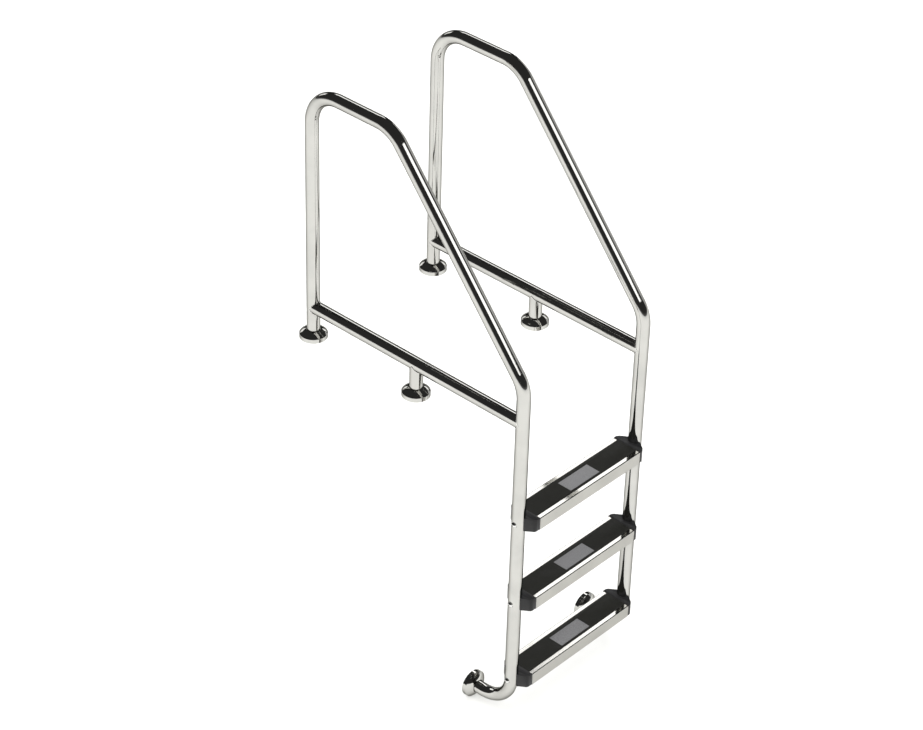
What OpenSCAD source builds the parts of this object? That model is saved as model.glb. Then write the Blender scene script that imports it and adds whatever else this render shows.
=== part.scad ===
// Pool ladder: two bent stainless handrails on four deck feet, three treads
// hung between the rails, and two returns fixed to the pool wall.
// Millimetres. +X to the right for someone climbing out, +Y from the pool to
// the deck, +Z up. The origin is on the deck, midway between the four feet.

/* [Tube] */
// Outside diameter of every rail tube
tube_d = 43; // [38:0.5:48]
// Wall thickness of the tube
tube_wall = 1.5; // [1:0.1:2]
// Centreline radius of every bend
bend_r = 115; // [90:1:125]

/* [Frame] */
// Distance between the left and right tube centrelines
rail_pitch = 543; // [443:1:643]
// Height of the top rail's centreline above the deck
top_rail_z = 885; // [750:1:950]
// Height of the lower rail's centreline above the deck
deck_rail_z = 112; // [100:1:150]
// Distance between the front and rear feet
foot_pitch = 443; // [350:1:500]
// Distance from the front feet to the stringers' centrelines
reach = 431; // [400:1:480]
// Height where the sloping rail's centreline meets the stringer's
knee_z = 239; // [210:1:260]
// Slope of the handrail, in degrees from level
slope_angle = 50; // [46:1:54]

/* [Pool side] */
// Distance from the stringers' centrelines to the pool wall
wall_gap = 165; // [160:1:200]
// Depth of the wall returns' centrelines below the deck
return_depth = 996; // [990:1:1100]
// Depth of the top tread's lips below the deck
first_tread_depth = 234; // [200:1:240]
// Rise from one tread to the next
tread_rise = 310; // [240:1:315]

/* [Treads] */
// Length of a tread channel between its end caps
tread_len = 465; // [365:1:565]
// Front to back depth of a tread
tread_d = 108; // [100:1:120]
// Height of a tread channel
tread_h = 45; // [40:1:50]
// Width of the polished lip on each side of the grip
lip_w = 15; // [12:0.5:18]
// Height of the grip above the lips
grip_proud = 1.5; // [0.5:0.1:2.5]
// Length of the plain centre pad
pad_len = 134; // [80:1:160]
// Depth of the plain centre pad
pad_d = 53; // [40:1:56]
// How far the pad sits towards the pool from the tread's middle
pad_shift = 4; // [0:0.5:5]

/* [Feet and covers] */
// Diameter of a foot plate
plate_d = 84; // [80:1:86]
// Thickness of a foot plate
plate_t = 6; // [5:0.5:8]
// Diameter of the circle that the anchor holes lie on
anchor_pcd = 64; // [62:1:66]
// Diameter of an anchor hole
anchor_d = 9; // [7:0.5:10]
// Diameter of a cover
cover_d = 90; // [89:1:96]
// Height of a cover's straight rim
rim_h = 14; // [12:0.5:16]
// Whole height of a cover
cover_h = 29.4; // [28:0.2:32]

/* [Hidden] */
$fn = 96;
SIDES = ["left", "right"];
LEVELS = ["top", "middle", "bottom"];
FEET = ["rear_foot", "front_foot", "wall"];
EPS = 0.01;

tube_r = tube_d / 2;
tube_bore_r = tube_r - tube_wall;
rear_y = foot_pitch / 2;
front_y = -foot_pitch / 2;
stringer_y = front_y - reach;
wall_y = stringer_y + wall_gap;
slope_top_y = stringer_y + (top_rail_z - knee_z) / tan(slope_angle);

// Butt welds, ground almost flush, and the gap that each one fills
weld_w = 4;
weld_rise = 0.3;
weld_gap = 1;

// Screws that hold the treads: M8 through the stringer into a nut in the cap
bolt_r = 4;
bolt_hole_r = 4.4;
bolt_head_r = 9;
bolt_head_h = 5.5;
bolt_reach = 80;
socket_af = 5;
socket_depth = 3.5;
washer_r = 10;
washer_t = 1.2;
sleeve_r = 6;
nut_af = 13;
nut_h = 8;
nut_gap = 0.2;

// Tread channel, pressed from sheet
sheet = 1.5;
edge_r = 3;
tray_depth = 3;
foot_flange = 12;
grip_gap = 0.3;
grip_edge = 1;
pad_pocket = 1.2;
pad_proud = 0.4;
pad_gap = 0.2;

// End caps: a wing that tapers to the tube and a plug inside the channel
cap_x = rail_pitch / 2 - tread_len / 2;
cap_taper = 54;
cap_corner_r = 20;
saddle_gap = 0.1;
plug_len = 26;
plug_gap = 0.2;
plug_wall = 3;
boss_r = 12;
relief_gap = 1.1;
relief_shift = 0.7;
bend_start_z = bend_r + weld_w / 2 + 0.5 - return_depth;

// Covers and their seals
cover_wall = 1.2;
slide_gap = 0.3;
collar_r = 27;
collar_h = 9;
seal_r = 1.8;
seal_z = cover_h - 5.6;
seal_groove = 0.05;

grip_w = tread_d - 2 * lip_w;
bolt_drop = (tread_h - grip_proud) / 2;

function side_sign(s) = s == "left" ? -1 : 1;
function tangent_len(angle) = bend_r * tan(angle / 2);
function tread_z(i) = -first_tread_depth - i * tread_rise;
function foot_y(f) = f == "rear_foot" ? rear_y : front_y;

// ---- shared shapes ----

module on_side(s) {
  mirror([s == "left" ? 0 : 1, 0, 0]) children();
}

// Tread parts on the left are drawn about the left tube's axis, +X inwards
module at_tube_axis() {
  translate([-rail_pitch / 2, stringer_y, 0]) children();
}

// Stands a foot's parts on the deck, or turns them to face the pool wall
module at_foot(f, s) {
  x = side_sign(s) * rail_pitch / 2;
  if (f == "wall") translate([x, wall_y, -return_depth]) rotate([90, 0, 0]) children();
  else translate([x, foot_y(f), 0]) children();
}

// Section of the tube, with both walls moved outwards by rise
module ring_2d(rise = 0) {
  difference() {
    circle(tube_r + rise);
    circle(tube_bore_r - rise);
  }
}

// Turned so that the section's start is clear of the cross holes
module straight_tube(length) {
  rotate([0, 0, 90]) linear_extrude(length) ring_2d();
}

// Butt weld between a bend and the run after it
module butt_weld() {
  translate([0, 0, -weld_w / 2]) linear_extrude(weld_w) ring_2d(weld_rise);
}

// A bend that starts along +Z at the origin and turns towards -Y
module elbow(angle) {
  translate([0, -bend_r, 0]) rotate([90, 0, 90])
    rotate_extrude(angle = angle) translate([bend_r, 0]) ring_2d();
}

// Straight runs, each bent at its far end and welded to the next one; angles
// has one entry fewer than runs. A weld fills the gap before each later run
module bent_tube(runs, angles, i = 0) {
  start = i == 0 ? 0 : weld_gap;
  translate([0, 0, start]) straight_tube(runs[i] - start);
  if (i > 0) butt_weld();
  if (i < len(angles)) translate([0, 0, runs[i]]) {
    elbow(angles[i]);
    translate([0, -bend_r * (1 - cos(angles[i])), bend_r * sin(angles[i])])
      rotate([angles[i], 0, 0]) bent_tube(runs, angles, i + 1);
  }
}

// Rectangle with its lower corners at -x, -y and four round corners
module round_rect(w, h, r) {
  translate([r, 0]) square([w - 2 * r, h]);
  translate([0, r]) square([w, h - 2 * r]);
  for (x = [r, w - r]) for (y = [r, h - r]) translate([x, y]) circle(r);
}

// Turns a front-to-back section, drawn in X and Y, and runs it along +X
module along_x(length) {
  rotate([90, 0, 90]) linear_extrude(length) children();
}

// ---- rails ----

module handrail(s) {
  runs = [
    top_rail_z - tangent_len(90) - plate_t,
    rear_y - slope_top_y - tangent_len(90) - tangent_len(slope_angle),
    (top_rail_z - knee_z) / sin(slope_angle) - tangent_len(slope_angle) - tangent_len(90 - slope_angle),
    knee_z + return_depth - tangent_len(90 - slope_angle) - tangent_len(90),
    wall_gap - plate_t - tangent_len(90)
  ];
  angles = [90, slope_angle, 90 - slope_angle, 90];
  color("gainsboro") difference() {
    translate([side_sign(s) * rail_pitch / 2, rear_y, plate_t]) bent_tube(runs, angles);
    on_side(s) step_holes();
  }
}

module step_holes() {
  for (i = [0:2]) at_tube_axis() translate([-tube_d, 0, tread_z(i) - bolt_drop])
    rotate([0, 90, 0]) cylinder(r = bolt_hole_r, h = 2 * tube_d);
}

// Level rail, notched to fit the post and the stringer that it is welded to
module deck_rail(s) {
  color("gainsboro") translate([side_sign(s) * rail_pitch / 2, 0, 0]) difference() {
    translate([0, rear_y, deck_rail_z]) rotate([90, 0, 0]) straight_tube(rear_y - stringer_y);
    for (y = [rear_y, stringer_y]) translate([0, y, 0]) cylinder(r = tube_r, h = 2 * deck_rail_z);
  }
}

// Short leg, notched under the deck rail
module support_leg(s) {
  color("gainsboro") translate([side_sign(s) * rail_pitch / 2, front_y, 0]) difference() {
    translate([0, 0, plate_t]) straight_tube(deck_rail_z - plate_t);
    translate([0, tube_d, deck_rail_z]) rotate([90, 0, 0]) cylinder(r = tube_r, h = 2 * tube_d);
  }
}

// ---- feet ----

// Three anchor holes, the single one on the outer end of the row of feet
module foot_plate(f, s) {
  first = f == "front_foot" ? -90 : 90;
  color("silver") at_foot(f, s) difference() {
    cylinder(d = plate_d, h = plate_t);
    for (a = [0:120:240]) rotate([0, 0, first + a]) translate([anchor_pcd / 2, 0, -1])
      cylinder(d = anchor_d, h = plate_t + 2);
  }
}

// Radius of a cover's inside at its rim
function edge_inside() = cover_d / 2 - cover_wall;

// Part of a dome that is centred on the tube's axis, r away from it
module dome_2d(shrink) {
  edge = cover_d / 2;
  centre_z = (edge ^ 2 + rim_h ^ 2 - tube_r ^ 2 - cover_h ^ 2) / (2 * (rim_h - cover_h));
  dome_r = norm([edge, rim_h - centre_z]);
  intersection() {
    square([edge - shrink, cover_h - shrink]);
    translate([0, centre_z]) circle(dome_r - shrink, $fn = 180);
  }
}

module foot_cover(f, s) {
  color("gainsboro") at_foot(f, s) rotate_extrude() difference() {
    union() {
      difference() {
        dome_2d(0);
        dome_2d(cover_wall);
        square([edge_inside(), rim_h / 2]);
      }
      intersection() {
        dome_2d(0);
        translate([0, cover_h - collar_h]) square([collar_r, collar_h]);
      }
    }
    square([tube_r + slide_gap, cover_h + 1]);
    translate([0, seal_z - seal_r - seal_groove])
      square([tube_r + slide_gap + 2 * (seal_r + seal_groove), 2 * (seal_r + seal_groove)]);
  }
}

module foot_seal(f, s) {
  color("dimgray") at_foot(f, s) translate([0, 0, seal_z]) rotate_extrude()
    translate([tube_r + slide_gap + seal_groove + seal_r, 0]) circle(seal_r, $fn = 32);
}

// ---- treads ----

module tread_channel_2d() {
  difference() {
    union() {
      difference() {
        translate([-tread_d / 2, -tread_h]) round_rect(tread_d, tread_h, edge_r);
        translate([sheet - tread_d / 2, sheet - tread_h])
          round_rect(tread_d - 2 * sheet, tread_h - 2 * sheet, edge_r - sheet);
      }
      translate([-grip_w / 2 - sheet, -tray_depth - sheet])
        square([grip_w + 2 * sheet, tray_depth + sheet]);
    }
    translate([-grip_w / 2, -tray_depth]) square([grip_w, tread_h]);
    translate([foot_flange - tread_d / 2, -tread_h - 1])
      square([tread_d - 2 * foot_flange, sheet + 1 + EPS]);
  }
}

module at_tread(level) {
  translate([0, stringer_y, tread_z(search([level], LEVELS)[0])]) children();
}

module tread_channel(level) {
  color("gainsboro") at_tread(level) translate([-tread_len / 2, 0, 0])
    along_x(tread_len) tread_channel_2d();
}

// Black grip strip, chamfered along its long edges, with a pocket for the pad
module tread_grip(level) {
  w = grip_w / 2 - grip_gap;
  color("#26261f") at_tread(level) difference() {
    translate([-tread_len / 2, 0, 0]) along_x(tread_len) polygon([
      [-w, -tray_depth], [w, -tray_depth], [w, grip_proud - grip_edge / 2],
      [w - grip_edge, grip_proud], [grip_edge - w, grip_proud], [-w, grip_proud - grip_edge / 2]
    ]);
    translate([-pad_len / 2, -pad_d / 2 - pad_shift, grip_proud - pad_pocket])
      cube([pad_len, pad_d, pad_pocket + 1]);
  }
}

module tread_pad(level) {
  thick = pad_pocket + pad_proud;
  color("dimgray") at_tread(level)
    translate([pad_gap - pad_len / 2, pad_gap - pad_d / 2 - pad_shift, grip_proud - pad_pocket])
      cube([pad_len - 2 * pad_gap, pad_d - 2 * pad_gap, thick]);
}

// Outline of a cap's wing from above: full depth at the tread, tapering to
// the tube's axis, with a round shoulder
module wing_2d() {
  half = tread_d / 2;
  corner_x = half / tan(cap_taper) - tube_r / tan(cap_taper);
  run = cap_corner_r * tan(cap_taper / 2);
  for (m = [0, 1]) mirror([0, m]) {
    polygon([
      [cap_x, 0], [cap_x, half], [corner_x + run, half],
      [corner_x - run * cos(cap_taper), half - run * sin(cap_taper)], [0, tube_r], [0, 0]
    ]);
    intersection() {
      translate([corner_x + run, half - cap_corner_r]) circle(cap_corner_r);
      square([cap_x, half]);
    }
  }
}

module cap_section_2d() {
  corner = 6;
  height = tread_h + grip_proud;
  translate([-tread_d / 2, -tread_h]) {
    round_rect(tread_d, height, corner);
    translate([0, corner]) round_rect(tread_d, height - corner, grip_proud);
  }
}

// Hollow plug that fills the channel's end, with a boss around the nut
module cap_plug() {
  w = tread_d - 2 * (sheet + plug_gap);
  low = -tread_h + sheet + plug_gap;
  high = -tray_depth - sheet - plug_gap;
  pocket_w = w / 2 - plug_wall - boss_r;
  translate([cap_x, 0, 0]) difference() {
    translate([-EPS, -w / 2, low]) cube([plug_len, w, high - low]);
    for (m = [0, 1]) mirror([0, m, 0]) translate([0, boss_r, low + plug_wall])
      cube([plug_len + 1, pocket_w, high - low - 2 * plug_wall]);
  }
}

// Widens a cap's saddle below the height z, for the weld and the bend there
module bend_relief(z) {
  translate([0, relief_shift, z - 2 * tread_h]) rotate([0, 0, 180])
    cylinder(r = tube_r + relief_gap, h = 2 * tread_h);
}

module tread_cap(level, s) {
  color("#323234") on_side(s) at_tube_axis() translate([0, 0, tread_z(search([level], LEVELS)[0])])
    difference() {
      union() {
        intersection() {
          translate([0, 0, -tread_h]) linear_extrude(tread_h + grip_proud) wing_2d();
          along_x(cap_x) cap_section_2d();
        }
        cap_plug();
      }
      translate([0, 0, -2 * tread_h]) cylinder(r = tube_r + saddle_gap, h = 3 * tread_h);
      if (level == "bottom") bend_relief(bend_start_z - tread_z(2));
      translate([0, 0, -bolt_drop]) rotate([0, 90, 0]) {
        cylinder(r = bolt_hole_r, h = cap_x + plug_len + 1);
        translate([0, 0, bolt_reach - tube_r - nut_h - nut_gap])
          rotate([0, 0, 30]) cylinder(d = (nut_af + 2 * nut_gap) / cos(30), h = tube_d, $fn = 6);
      }
    }
}

// ---- tread fasteners, one set at each end of each tread ----

module at_each_bolt() {
  for (s = SIDES) for (i = [0:2]) on_side(s) at_tube_axis()
    translate([0, 0, tread_z(i) - bolt_drop]) rotate([0, 90, 0]) children();
}

// Domed head outside the tube, seated on its saddle washer
module step_bolts() {
  under_head = -tube_r - washer_t;
  dome_r = (bolt_head_r ^ 2 + bolt_head_h ^ 2) / (2 * bolt_head_h);
  color("silver") at_each_bolt() translate([0, 0, under_head]) difference() {
    union() {
      cylinder(r = bolt_r, h = bolt_reach);
      intersection() {
        translate([0, 0, dome_r - bolt_head_h]) sphere(dome_r);
        translate([0, 0, -bolt_head_h]) cylinder(r = bolt_head_r, h = bolt_head_h);
      }
    }
    translate([0, 0, -bolt_head_h - 1])
      cylinder(d = socket_af / cos(30), h = socket_depth + 1, $fn = 6);
  }
}

module step_washers() {
  color("silver") at_each_bolt() difference() {
    translate([0, 0, -tube_r - washer_t]) cylinder(r = washer_r, h = tube_r / 3);
    rotate([0, 90, 0]) translate([0, 0, -tube_d]) cylinder(r = tube_r, h = 2 * tube_d);
    translate([0, 0, -tube_d]) cylinder(r = bolt_hole_r, h = 2 * tube_d);
  }
}

// Crush tubes inside the stringers, which keep the bolts from flattening them
module step_sleeves() {
  half = sqrt(tube_bore_r ^ 2 - sleeve_r ^ 2);
  color("silver") at_each_bolt() translate([0, 0, -half]) difference() {
    cylinder(r = sleeve_r, h = 2 * half);
    translate([0, 0, -1]) cylinder(r = bolt_hole_r, h = 2 * half + 2);
  }
}

module step_nuts() {
  color("silver") at_each_bolt() translate([0, 0, bolt_reach - tube_r - nut_h]) rotate([0, 0, 30])
    difference() {
      cylinder(d = nut_af / cos(30), h = nut_h, $fn = 6);
      translate([0, 0, -1]) cylinder(r = bolt_r, h = nut_h + 2);
    }
}

// ---- nodes ----

for (s = SIDES) {
  handrail(s);
  deck_rail(s);
  support_leg(s);
  for (f = FEET) {
    foot_plate(f, s);
    foot_cover(f, s);
    foot_seal(f, s);
  }
  for (l = LEVELS) {
    tread_cap(l, s);
  }
}
for (l = LEVELS) {
  tread_channel(l);
  tread_grip(l);
  tread_pad(l);
}
step_bolts();
step_washers();
step_sleeves();
step_nuts();
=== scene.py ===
import math

import bmesh
import bpy
from mathutils import Matrix, Vector


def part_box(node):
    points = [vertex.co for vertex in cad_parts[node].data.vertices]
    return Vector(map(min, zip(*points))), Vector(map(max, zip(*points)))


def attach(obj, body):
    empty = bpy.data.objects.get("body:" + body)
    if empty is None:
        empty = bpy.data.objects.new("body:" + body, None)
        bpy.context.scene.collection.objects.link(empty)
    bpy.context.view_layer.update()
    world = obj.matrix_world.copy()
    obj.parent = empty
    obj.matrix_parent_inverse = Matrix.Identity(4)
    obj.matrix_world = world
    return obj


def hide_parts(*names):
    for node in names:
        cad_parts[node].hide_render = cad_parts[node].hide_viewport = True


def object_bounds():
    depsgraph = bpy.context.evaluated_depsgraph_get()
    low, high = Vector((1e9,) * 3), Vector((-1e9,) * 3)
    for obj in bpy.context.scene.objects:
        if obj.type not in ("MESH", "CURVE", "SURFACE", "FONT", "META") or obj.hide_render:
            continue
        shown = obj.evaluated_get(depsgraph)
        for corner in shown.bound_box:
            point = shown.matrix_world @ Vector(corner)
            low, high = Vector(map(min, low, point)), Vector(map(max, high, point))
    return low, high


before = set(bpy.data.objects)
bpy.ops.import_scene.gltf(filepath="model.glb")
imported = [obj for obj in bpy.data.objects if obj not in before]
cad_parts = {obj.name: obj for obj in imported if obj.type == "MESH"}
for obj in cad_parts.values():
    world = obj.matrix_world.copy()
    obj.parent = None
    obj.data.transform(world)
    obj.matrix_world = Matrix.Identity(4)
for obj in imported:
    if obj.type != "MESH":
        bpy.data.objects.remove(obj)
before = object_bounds()
scene = bpy.context.scene

SIDES = ("left", "right")
LEVELS = ("top", "middle", "bottom")
FEET = ("rear_foot", "front_foot", "wall")
ROOT = "ladder_frame"
MM = 0.001

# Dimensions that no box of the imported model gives
BEND_R = 115 * MM
KNEE_Z = 239 * MM
SLOPE = math.radians(50)
TUBE_WALL = 1.5 * MM
COVER_R = 45 * MM
COVER_RIM = 14 * MM
COVER_HEIGHT = 29.4 * MM
COVER_WALL = 1.2 * MM
COVER_GAP = 0.3 * MM

# How finely each shape is divided
TUBE_SIDES = 96
BEND_STEPS_PER_DEGREE = 0.6
SADDLE_SIDES = 128
SADDLE_ROWS = 8
COVER_SIDES = 144
BEAD_STEPS = 96
BEAD_SIDES = 10


# ---- materials ----

class Nodes:
    """A small wrapper that adds and links nodes in one material."""

    def __init__(self, name):
        self.mat = bpy.data.materials.new(name)
        self.mat.use_nodes = True
        self.tree = self.mat.node_tree
        self.bsdf = self.tree.nodes["Principled BSDF"]
        self.coord = self.add("ShaderNodeTexCoord").outputs["Object"]

    def add(self, kind, **values):
        node = self.tree.nodes.new(kind)
        for key, value in values.items():
            if key in node.inputs:
                node.inputs[key].default_value = value
            else:
                setattr(node, key, value)
        return node

    def link(self, a, b):
        self.tree.links.new(a, b)

    def stretched(self, scale):
        mapping = self.add("ShaderNodeMapping")
        mapping.inputs["Scale"].default_value = scale
        self.link(self.coord, mapping.inputs["Vector"])
        return mapping.outputs["Vector"]

    def noise(self, scale, detail=4.0, vector=None):
        node = self.add("ShaderNodeTexNoise", Scale=scale, Detail=detail)
        self.link(vector or self.coord, node.inputs["Vector"])
        return node.outputs["Fac"]

    def span(self, value, low, high, start=0.3, stop=0.7):
        node = self.add("ShaderNodeMapRange")
        for key, number in (("From Min", start), ("From Max", stop), ("To Min", low), ("To Max", high)):
            node.inputs[key].default_value = number
        self.link(value, node.inputs["Value"])
        return node.outputs["Result"]

    def tint(self, value, stops):
        """A colour that runs between two (place, colour) stops."""
        ramp = self.add("ShaderNodeValToRGB")
        for point, (place, colour) in zip(ramp.color_ramp.elements, stops):
            point.position = place
            point.color = (*colour, 1)
        self.link(value, ramp.inputs["Fac"])
        return ramp.outputs["Color"]

    def bump(self, height, strength, distance):
        node = self.add("ShaderNodeBump", Strength=strength, Distance=distance)
        self.link(height, node.inputs["Height"])
        return node.outputs["Normal"]

    def colour_mix(self, blend):
        """A colour Mix node, its factor and two colour inputs, and its colour output."""
        node = self.add("ShaderNodeMix", data_type="RGBA", blend_type=blend)
        first, second = [s for s in node.inputs if s.type == "RGBA"]
        result = [s for s in node.outputs if s.type == "RGBA"][0]
        return node.inputs["Factor"], first, second, result


def metal(name, clean, dull, rough, grain, grain_scale, grain_strength):
    """Steel with painted shade darkening the edges of its curves, dull patches, fine lines and rougher
    spots.
    """
    n = Nodes(name)
    n.bsdf.inputs["Metallic"].default_value = 1.0
    n.bsdf.inputs["Specular Tint"].default_value = (0.32, 0.32, 0.31, 1)
    patches = n.tint(n.noise(11, 6), [(0.30, dull), (0.62, clean)])
    facing = n.add("ShaderNodeLayerWeight", Blend=0.5).outputs["Facing"]
    # painted shade: the base colour darkens where the surface turns away from the camera, in place of
    # darker reflections at the edges
    painted_edge_shade = n.tint(facing, [(0.35, (1, 1, 1)), (0.95, (0.42, 0.42, 0.41))])
    factor, first, second, colour = n.colour_mix("MULTIPLY")
    factor.default_value = 1.0
    n.link(patches, first)
    n.link(painted_edge_shade, second)
    n.link(colour, n.bsdf.inputs["Base Color"])
    lines = n.noise(grain_scale, 3, n.stretched(grain))
    spots = n.span(n.noise(70, 5), 0.0, 0.035, 0.52, 0.75)
    roughness = n.add("ShaderNodeMath", operation="ADD")
    n.link(n.span(lines, *rough), roughness.inputs[0])
    n.link(spots, roughness.inputs[1])
    n.link(roughness.outputs[0], n.bsdf.inputs["Roughness"])
    n.link(n.bump(lines, grain_strength, 0.0002), n.bsdf.inputs["Normal"])
    return n.mat


def moulded(name, body, worn, rough, grain_scale, grain_strength, patch_scale=34, patch_gain=1.35):
    """Plastic or rubber with uneven patches, a fine grain and worn edges."""
    n = Nodes(name)
    n.bsdf.inputs["Specular IOR Level"].default_value = 0.3
    patches = n.noise(patch_scale, 5)
    base = n.tint(patches, [(0.35, body), (0.68, tuple(patch_gain * c for c in body))])
    edges = n.add("ShaderNodeNewGeometry").outputs["Pointiness"]
    factor, first, second, colour = n.colour_mix("MIX")
    n.link(n.span(edges, 0.0, 0.5, 0.54, 0.62), factor)
    n.link(base, first)
    second.default_value = (*worn, 1)
    n.link(colour, n.bsdf.inputs["Base Color"])
    n.link(n.span(patches, *rough), n.bsdf.inputs["Roughness"])
    n.link(n.bump(n.noise(grain_scale, 2), grain_strength, 0.0003), n.bsdf.inputs["Normal"])
    return n.mat


POLISHED = metal(
    "polished_tube", clean=(0.56, 0.555, 0.53), dull=(0.50, 0.495, 0.475), rough=(0.035, 0.075),
    grain=(1, 1, 1), grain_scale=260, grain_strength=0.012,
)
PRESSED = metal(
    "drawn_sheet", clean=(0.58, 0.57, 0.54), dull=(0.52, 0.51, 0.485), rough=(0.05, 0.11),
    grain=(1, 90, 90), grain_scale=9, grain_strength=0.03,
)
FASTENER = metal(
    "bright_fastener", clean=(0.8, 0.795, 0.78), dull=(0.68, 0.675, 0.66), rough=(0.08, 0.16),
    grain=(1, 1, 1), grain_scale=500, grain_strength=0.05,
)
PLATE = metal(
    "turned_plate", clean=(0.52, 0.515, 0.50), dull=(0.42, 0.415, 0.40), rough=(0.2, 0.34),
    grain=(3, 3, 60), grain_scale=60, grain_strength=0.1,
)
CAP = moulded(
    "cap_plastic", body=(0.0085, 0.0085, 0.009), worn=(0.03, 0.03, 0.03), rough=(0.34, 0.48),
    grain_scale=900, grain_strength=0.16,
)
GRIP = moulded(
    "grip_plastic", body=(0.0085, 0.0085, 0.0072), worn=(0.03, 0.03, 0.028), rough=(0.5, 0.68),
    grain_scale=1100, grain_strength=0.35,
)
PAD = moulded(
    "pad_plastic", body=(0.06, 0.06, 0.062), worn=(0.25, 0.25, 0.25), rough=(0.6, 0.75),
    grain_scale=1300, grain_strength=0.4, patch_scale=620, patch_gain=3.4,
)
RUBBER = moulded(
    "seal_rubber", body=(0.02, 0.02, 0.02), worn=(0.04, 0.04, 0.04), rough=(0.6, 0.8),
    grain_scale=700, grain_strength=0.3,
)


# ---- mesh helpers ----

class Skin:
    """Vertices with exact normals, built up from rows."""

    def __init__(self):
        self.verts, self.normals, self.faces = [], [], []

    def grid(self, rows):
        """Faces between closed rows of (point, normal) pairs, each row the same length."""
        start, width = len(self.verts), len(rows[0])
        for row in rows:
            for point, normal in row:
                self.verts.append(point)
                self.normals.append(normal)
        for i in range(len(rows) - 1):
            for j in range(width):
                a = start + i * width + j
                b = start + i * width + (j + 1) % width
                face = (a, b, b + width, a + width)
                side = (self.verts[b] - self.verts[a]).cross(self.verts[a + width] - self.verts[a])
                self.faces.append(face if side.dot(self.normals[a]) >= 0 else face[::-1])

    def piece(self, name, material, body, slot, *stood_for):
        """The rows as a new object that stands for those CAD nodes."""
        mesh = bpy.data.meshes.new(name)
        mesh.from_pydata([tuple(v) for v in self.verts], [], self.faces)
        mesh.shade_smooth()
        mesh.normals_split_custom_set_from_vertices([tuple(n) for n in self.normals])
        obj = bpy.data.objects.new(name, mesh)
        scene.collection.objects.link(obj)
        return finished(obj, material, body, slot, *stood_for)


def finished(obj, material, body, slot, *stood_for):
    obj.data.materials.clear()
    obj.data.materials.append(material)
    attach(obj, body)
    if stood_for:
        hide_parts(*stood_for)
    return obj


def round_steps(count):
    """Angles evenly spaced round a circle."""
    return [2 * math.pi * k / count for k in range(count)]


def circle_row(centre, side, other, radius, sign):
    """A row round a tube; sign is 1 for an outer wall and -1 for a bore."""
    row = []
    for a in round_steps(TUBE_SIDES):
        out = math.cos(a) * side + math.sin(a) * other
        row.append((centre + radius * out, sign * out))
    return row


def filleted(corners, radius):
    """Centreline stations (point, direction) of a bent tube through these corners."""
    stations = [(corners[0], (corners[1] - corners[0]).normalized())]
    for a, b, c in zip(corners, corners[1:], corners[2:]):
        d0, d1 = (b - a).normalized(), (c - b).normalized()
        turn = d0.angle(d1)
        inward = (d1 - d0 * d0.dot(d1)).normalized()
        start = b - d0 * radius * math.tan(turn / 2)
        centre = start + inward * radius
        steps = max(8, round(math.degrees(turn) * BEND_STEPS_PER_DEGREE))
        for k in range(steps + 1):
            t = turn * k / steps
            point = centre - inward * radius * math.cos(t) + d0 * radius * math.sin(t)
            stations.append((point, d0 * math.cos(t) + inward * math.sin(t)))
    stations.append((corners[-1], (corners[-1] - corners[-2]).normalized()))
    return stations


def tube(skin, stations, across, r_out, r_in):
    """A hollow tube along stations; across is the direction that never turns."""
    ends = []
    for radius, sign in ((r_out, 1), (r_in, -1)):
        rows = [circle_row(p, across, across.cross(d), radius, sign) for p, d in stations]
        skin.grid(rows)
        ends.append((rows[0], rows[-1]))
    for k, facing in ((0, -stations[0][1]), (1, stations[-1][1])):
        skin.grid([[(p, facing) for p, _ in ends[0][k]], [(p, facing) for p, _ in ends[1][k]]])


def revolve(skin, profile, origin, axis, side):
    """Turns runs of (radius, height, normal's radius, normal's height) about an axis."""
    other = axis.cross(side)
    for run in profile:
        rows = []
        for r, h, nr, nh in run:
            row = []
            for a in round_steps(COVER_SIDES):
                out = math.cos(a) * side + math.sin(a) * other
                row.append((origin + r * out + h * axis, (nr * out + nh * axis).normalized()))
            rows.append(row)
        skin.grid(rows)


def arc_run(cr, ch, radius, start, stop, steps, sign=1):
    """Part of a circle in a profile, angles in degrees from the outward radius."""
    run = []
    for k in range(steps + 1):
        a = math.radians(start + (stop - start) * k / steps)
        cos, sin = math.cos(a), math.sin(a)
        run.append((cr + radius * cos, ch + radius * sin, sign * cos, sign * sin))
    return run


def flat_run(a, b):
    """A straight part of a profile, with its normal on the right of a to b."""
    dr, dh = b[0] - a[0], b[1] - a[1]
    size = math.hypot(dr, dh)
    nr, nh = dh / size, -dr / size
    return [(*a, nr, nh), (*b, nr, nh)]


# ---- places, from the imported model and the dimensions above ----

def centre_of(node):
    lo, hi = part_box(node)
    return (lo + hi) / 2


rail_lo, rail_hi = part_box("deck_rail_left")
TUBE_R = (rail_hi.z - rail_lo.z) / 2
RAIL_Z = (rail_hi.z + rail_lo.z) / 2
STRINGER_Y = centre_of("top_tread_channel").y
REAR_Y = centre_of("rear_foot_plate_left").y
FRONT_Y = centre_of("front_foot_plate_left").y
PLATE_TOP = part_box("rear_foot_plate_left")[1].z
WALL_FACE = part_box("wall_plate_left")[1].y
PLATE_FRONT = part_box("wall_plate_left")[0].y
RETURN_Z = centre_of("wall_plate_left").z
TOP_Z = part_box("handrail_left")[1].z - TUBE_R
SLOPE_TOP_Y = STRINGER_Y + (TOP_Z - KNEE_Z) / math.tan(SLOPE)
BORE_R = TUBE_R - TUBE_WALL
X, Y, Z = Vector((1, 0, 0)), Vector((0, 1, 0)), Vector((0, 0, 1))
side_x = {s: centre_of(f"handrail_{s}").x for s in SIDES}


# ---- tubes ----

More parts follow.
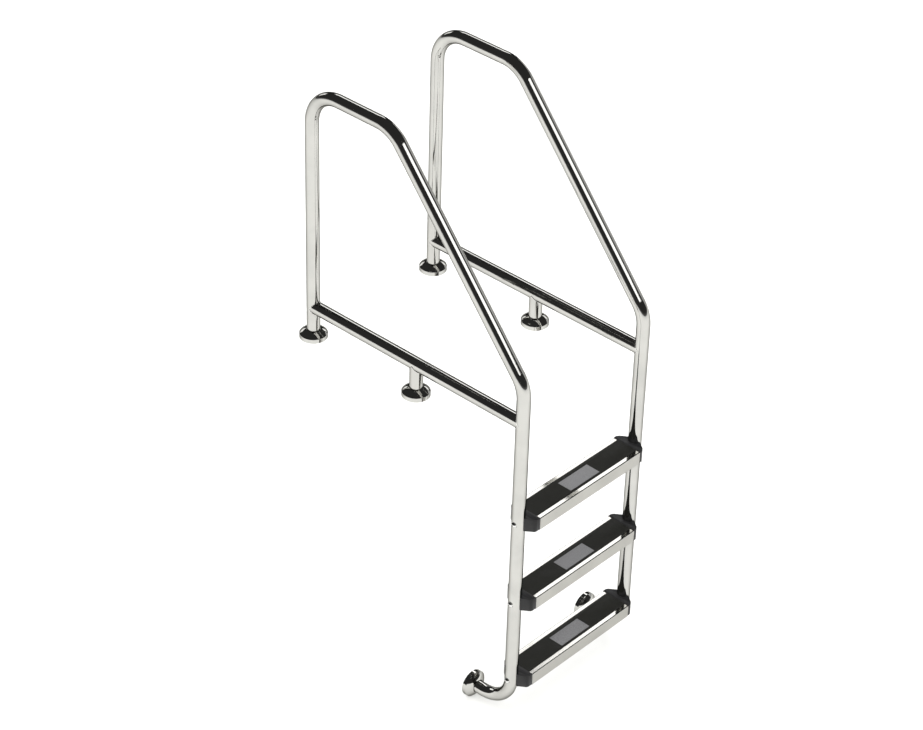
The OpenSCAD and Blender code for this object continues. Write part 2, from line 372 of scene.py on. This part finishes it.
def bead(skin, base, along, up):
    """Thin rippled weld where the end of a tube along `along` is notched over another tube."""
    thickness, ripple, ripples = 1.3 * MM, 0.12, 31
    cross = along.cross(up)
    rows = []
    for k in range(BEAD_STEPS + 1):
        a = 2 * math.pi * k / BEAD_STEPS
        lift = TUBE_R * abs(math.sin(a))
        centre = base + TUBE_R * math.cos(a) * cross + TUBE_R * math.sin(a) * up + lift * along
        out = (math.cos(a) * cross + math.sin(a) * up * 0.6 + 0.6 * along).normalized()
        turn = (-math.sin(a) * cross + math.cos(a) * up).normalized()
        other = turn.cross(out).normalized()
        radius = thickness * (1 + ripple * math.sin(ripples * a))
        row = []
        for t in round_steps(BEAD_SIDES):
            normal = math.cos(t) * out + math.sin(t) * other
            row.append((centre + radius * normal, normal))
        rows.append(row)
    skin.grid(rows)


def saddle_tube(skin, start, along, length, up, notched_start):
    """A straight tube whose far end, and start if wanted, is notched over a tube of its own size."""
    cross = along.cross(up)
    for radius, sign in ((TUBE_R, 1), (BORE_R, -1)):
        rows = []
        for k in range(SADDLE_ROWS + 1):
            row = []
            for a in round_steps(SADDLE_SIDES):
                out = math.cos(a) * cross + math.sin(a) * up
                notch = math.sqrt(max(TUBE_R ** 2 - (radius * math.cos(a)) ** 2, 0))
                low = notch if notched_start else 0
                reach = low + (length - notch - low) * k / SADDLE_ROWS
                row.append((start + along * reach + radius * out, sign * out))
            rows.append(row)
        skin.grid(rows)


for s in SIDES:
    x = side_x[s]
    path = [Vector((x, y, z)) for y, z in (
        (REAR_Y, PLATE_TOP), (REAR_Y, TOP_Z), (SLOPE_TOP_Y, TOP_Z), (STRINGER_Y, KNEE_Z),
        (STRINGER_Y, RETURN_Z), (PLATE_FRONT, RETURN_Z),
    )]
    skin = Skin()
    tube(skin, filleted(path, BEND_R), X, TUBE_R, BORE_R)
    skin.piece(f"bent_handrail_{s}", POLISHED, ROOT, "polished_steel", f"handrail_{s}")

    skin = Skin()
    saddle_tube(skin, Vector((x, STRINGER_Y, RAIL_Z)), Y, REAR_Y - STRINGER_Y, Z, True)
    skin.piece(f"level_rail_{s}", POLISHED, ROOT, "polished_steel", f"deck_rail_{s}")

    skin = Skin()
    saddle_tube(skin, Vector((x, FRONT_Y, PLATE_TOP)), Z, RAIL_Z - PLATE_TOP, Y, False)
    skin.piece(f"front_leg_{s}", POLISHED, ROOT, "polished_steel", f"support_leg_{s}")

    skin = Skin()
    bead(skin, Vector((x, STRINGER_Y, RAIL_Z)), Y, Z)
    bead(skin, Vector((x, REAR_Y, RAIL_Z)), -Y, Z)
    bead(skin, Vector((x, FRONT_Y, RAIL_Z)), -Z, Y)
    skin.piece(f"weld_beads_{s}", FASTENER, ROOT, "polished_steel")


# ---- covers ----

def cover_profile():
    """The cover's section: rim, dome, lip at the tube, inside of the dome, and seat."""
    hole, soft, lip = TUBE_R + COVER_GAP, 1.2 * MM, 0.5 * MM
    rim_squared, top_squared = COVER_R ** 2 + COVER_RIM ** 2, TUBE_R ** 2 + COVER_HEIGHT ** 2
    centre = (rim_squared - top_squared) / (2 * (COVER_RIM - COVER_HEIGHT))
    dome = math.hypot(COVER_R, COVER_RIM - centre)
    fillet_h = centre + math.sqrt((dome - soft) ** 2 - (COVER_R - soft) ** 2)
    low = math.degrees(math.atan2(fillet_h - centre, COVER_R - soft))
    top = math.degrees(math.acos((hole + lip) / dome))
    lip_h = centre + dome * math.sin(math.radians(top))
    inner, inner_edge = dome - COVER_WALL, COVER_R - COVER_WALL
    inner_low = math.degrees(math.acos(inner_edge / inner))
    inner_top = math.degrees(math.acos(hole / inner))
    inner_low_h = centre + inner * math.sin(math.radians(inner_low))
    inner_top_h = centre + inner * math.sin(math.radians(inner_top))
    return [
        flat_run((COVER_R, 0), (COVER_R, fillet_h)),
        arc_run(COVER_R - soft, fillet_h, soft, 0, low, 8),
        arc_run(0, centre, dome, low, top, 36),
        arc_run(hole + lip, lip_h - lip, lip, top, 180, 6),
        flat_run((hole, lip_h - lip), (hole, inner_top_h)),
        arc_run(0, centre, inner, inner_top, inner_low, 30, -1),
        flat_run((inner_edge, inner_low_h), (inner_edge, 0)),
        flat_run((inner_edge, 0), (COVER_R, 0)),
    ]


def foot_seat(foot, side):
    """Where a foot's cover sits, and the direction that it slides off in."""
    if foot == "wall":
        return Vector((side_x[side], WALL_FACE, RETURN_Z)), -Y
    return Vector((side_x[side], REAR_Y if foot == "rear_foot" else FRONT_Y, 0)), Z


for f in FEET:
    for s in SIDES:
        origin, axis = foot_seat(f, s)
        skin = Skin()
        revolve(skin, cover_profile(), origin, axis, X)
        body = f"{f}_cover_{s}_body"
        skin.piece(f"{f}_domed_cover_{s}", POLISHED, body, "polished_steel", f"{f}_cover_{s}")


# ---- caps, grips and pads with soft edges, and the other nodes as packed ----

def softened(node, name, material, slot, width, segments):
    """The node's own shape with its hard edges rounded over, in a new piece."""
    obj = bpy.data.objects.new(name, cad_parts[node].data.copy())
    scene.collection.objects.link(obj)
    shape = bmesh.new()
    shape.from_mesh(obj.data)
    bmesh.ops.remove_doubles(shape, verts=shape.verts, dist=1e-6)
    bmesh.ops.dissolve_limit(
        shape, angle_limit=math.radians(1.2), verts=shape.verts, edges=shape.edges,
        use_dissolve_boundaries=False,
    )
    shape.to_mesh(obj.data)
    shape.free()
    bevel = obj.modifiers.new("soft_edges", "BEVEL")
    bevel.width, bevel.segments, bevel.limit_method = width, segments, "ANGLE"
    bevel.angle_limit = math.radians(38)
    bevel.harden_normals = True
    obj.data.shade_smooth()
    return finished(obj, material, ROOT, slot, node)


for level in LEVELS:
    for s in SIDES:
        softened(f"{level}_tread_cap_{s}", f"{level}_end_cap_{s}", CAP, "cap_plastic", 0.9 * MM, 3)
    softened(f"{level}_tread_grip", f"{level}_grip_strip", GRIP, "grip_plastic", 0.3 * MM, 2)
    softened(f"{level}_tread_pad", f"{level}_centre_pad", PAD, "pad_plastic", 0.25 * MM, 2)

CARRIED = {
    "tread_channel": (PRESSED, "tread_steel"),
    "plate": (PLATE, "plate_steel"),
    "seal": (RUBBER, "seal_rubber"),
    "step_": (FASTENER, "fastener_steel"),
}
for name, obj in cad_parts.items():
    if obj.hide_render:
        continue
    for key, (material, slot) in CARRIED.items():
        if key in name:
            obj.data.materials.clear()
            obj.data.materials.append(material)
            break


# ---- floor, light and camera ----

def pale_floor(radius=45, gap=2 * MM):
    """A round floor below the ladder, with painted shade that makes it darker far away than near it."""
    z = before[0].z - gap
    mesh = bpy.data.meshes.new("floor")
    rim = [(radius * math.cos(a), radius * math.sin(a), z) for a in round_steps(96)]
    mesh.from_pydata(rim, [], [tuple(range(len(rim)))])
    obj = bpy.data.objects.new("floor", mesh)
    scene.collection.objects.link(obj)
    n = Nodes("pale_floor")
    away = n.add("ShaderNodeVectorMath", operation="LENGTH")
    n.link(n.coord, away.inputs[0])
    distance = n.span(away.outputs["Value"], 0, 1, 5, 32)
    # painted shade: the floor's colour darkens with distance in place of light falling off away from
    # the lamps
    shade = n.tint(distance, [(0, (0.86, 0.86, 0.845)), (1, (0.42, 0.42, 0.42))])
    n.link(shade, n.bsdf.inputs["Base Color"])
    n.bsdf.inputs["Roughness"].default_value = 1.0
    n.bsdf.inputs["Specular IOR Level"].default_value = 0.0
    mesh.materials.append(n.mat)


def toward(azimuth, elevation):
    """Direction at an azimuth from +Y towards +X and an elevation, in degrees."""
    a, e = math.radians(azimuth), math.radians(elevation)
    return Vector((math.sin(a) * math.cos(e), math.cos(a) * math.cos(e), math.sin(e)))


def sun(name, azimuth, elevation, strength):
    """Soft light without a shadow, which the steel doesn't mirror."""
    data = bpy.data.lights.new(name, "SUN")
    data.energy, data.angle = strength, math.radians(70)
    obj = bpy.data.objects.new(name, data)
    obj.rotation_mode = "QUATERNION"
    obj.rotation_quaternion = toward(azimuth, elevation).to_track_quat("Z", "Y")
    obj.visible_glossy = False
    data.use_shadow = False
    scene.collection.objects.link(obj)


def panel(name, azimuth, elevation, wide, high, glow, distance=40):
    """A soft panel that the steel mirrors, wide by high degrees as seen from the ladder."""
    data = bpy.data.lights.new(name, "AREA")
    data.shape = "RECTANGLE"
    data.size = 2 * distance * math.tan(math.radians(wide / 2))
    data.size_y = 2 * distance * math.tan(math.radians(high / 2))
    data.energy = glow * math.pi * data.size * data.size_y
    obj = bpy.data.objects.new(name, data)
    obj.location = distance * toward(azimuth, elevation)
    obj.rotation_mode = "QUATERNION"
    obj.rotation_quaternion = toward(azimuth, elevation).to_track_quat("Z", "Y")
    scene.collection.objects.link(obj)


pale_floor()
sun("sky_light", 0, 90, 3.0)
sun("pool_side_light", 180, 50, 0.9)
sun("left_light", -90, 50, 0.7)
sun("right_light", 90, 50, 0.5)
panel("white_panel_far", 45, 35.5, 22, 11, 2.4)
panel("grey_panel_far", 48, 16, 16, 24, 0.42)
panel("white_panel_pool", 177, 37.5, 40, 7, 2.2)
panel("white_panel_left", 10, 14, 18, 16, 1.9)
panel("white_panel_right", 80, 14, 16, 16, 1.9)
panel("grey_panel_right", 107, 12, 36, 22, 0.65)

def studio_world():
    """Dark above, a grey horizon, and pale below."""
    world = bpy.data.worlds.new("studio")
    world.use_nodes = True
    scene.world = world
    tree = world.node_tree
    coord = tree.nodes.new("ShaderNodeTexCoord")
    split = tree.nodes.new("ShaderNodeSeparateXYZ")
    height = tree.nodes.new("ShaderNodeMapRange")
    ramp = tree.nodes.new("ShaderNodeValToRGB")
    height.inputs["From Min"].default_value = -0.25
    height.inputs["From Max"].default_value = 0.25
    tree.links.new(coord.outputs["Generated"], split.inputs[0])
    tree.links.new(split.outputs["Z"], height.inputs["Value"])
    tree.links.new(height.outputs["Result"], ramp.inputs["Fac"])
    points = ramp.color_ramp.elements
    points[0].position, points[0].color = 0.0, (0.85, 0.85, 0.84, 1)
    points[1].position, points[1].color = 0.72, (0.035, 0.035, 0.035, 1)
    points.new(0.5).color = (0.13, 0.13, 0.13, 1)
    tree.links.new(ramp.outputs["Color"], tree.nodes["Background"].inputs["Color"])


def place_camera(place, azimuth, elevation, roll, lens):
    """A camera that looks along an azimuth and an elevation, rolled, all in degrees."""
    camera = bpy.data.objects.new("camera", bpy.data.cameras.new("camera"))
    scene.collection.objects.link(camera)
    scene.camera = camera
    ahead, level_right = toward(azimuth, elevation), toward(azimuth + 90, 0)
    level_up = level_right.cross(ahead)
    tilt = math.radians(roll)
    right = level_right * math.cos(tilt) + level_up * math.sin(tilt)
    turn = Matrix((right, right.cross(ahead), -ahead)).transposed()
    camera.matrix_world = Matrix.Translation(place) @ turn.to_4x4()
    camera.data.sensor_width = 36
    camera.data.lens = lens


studio_world()
scene.view_settings.view_transform = "Standard"
scene.view_settings.look = "None"

place_camera((-5.28039, -4.91074, 4.92345), azimuth=48.021, elevation=-35.042, roll=1.688, lens=108.326)
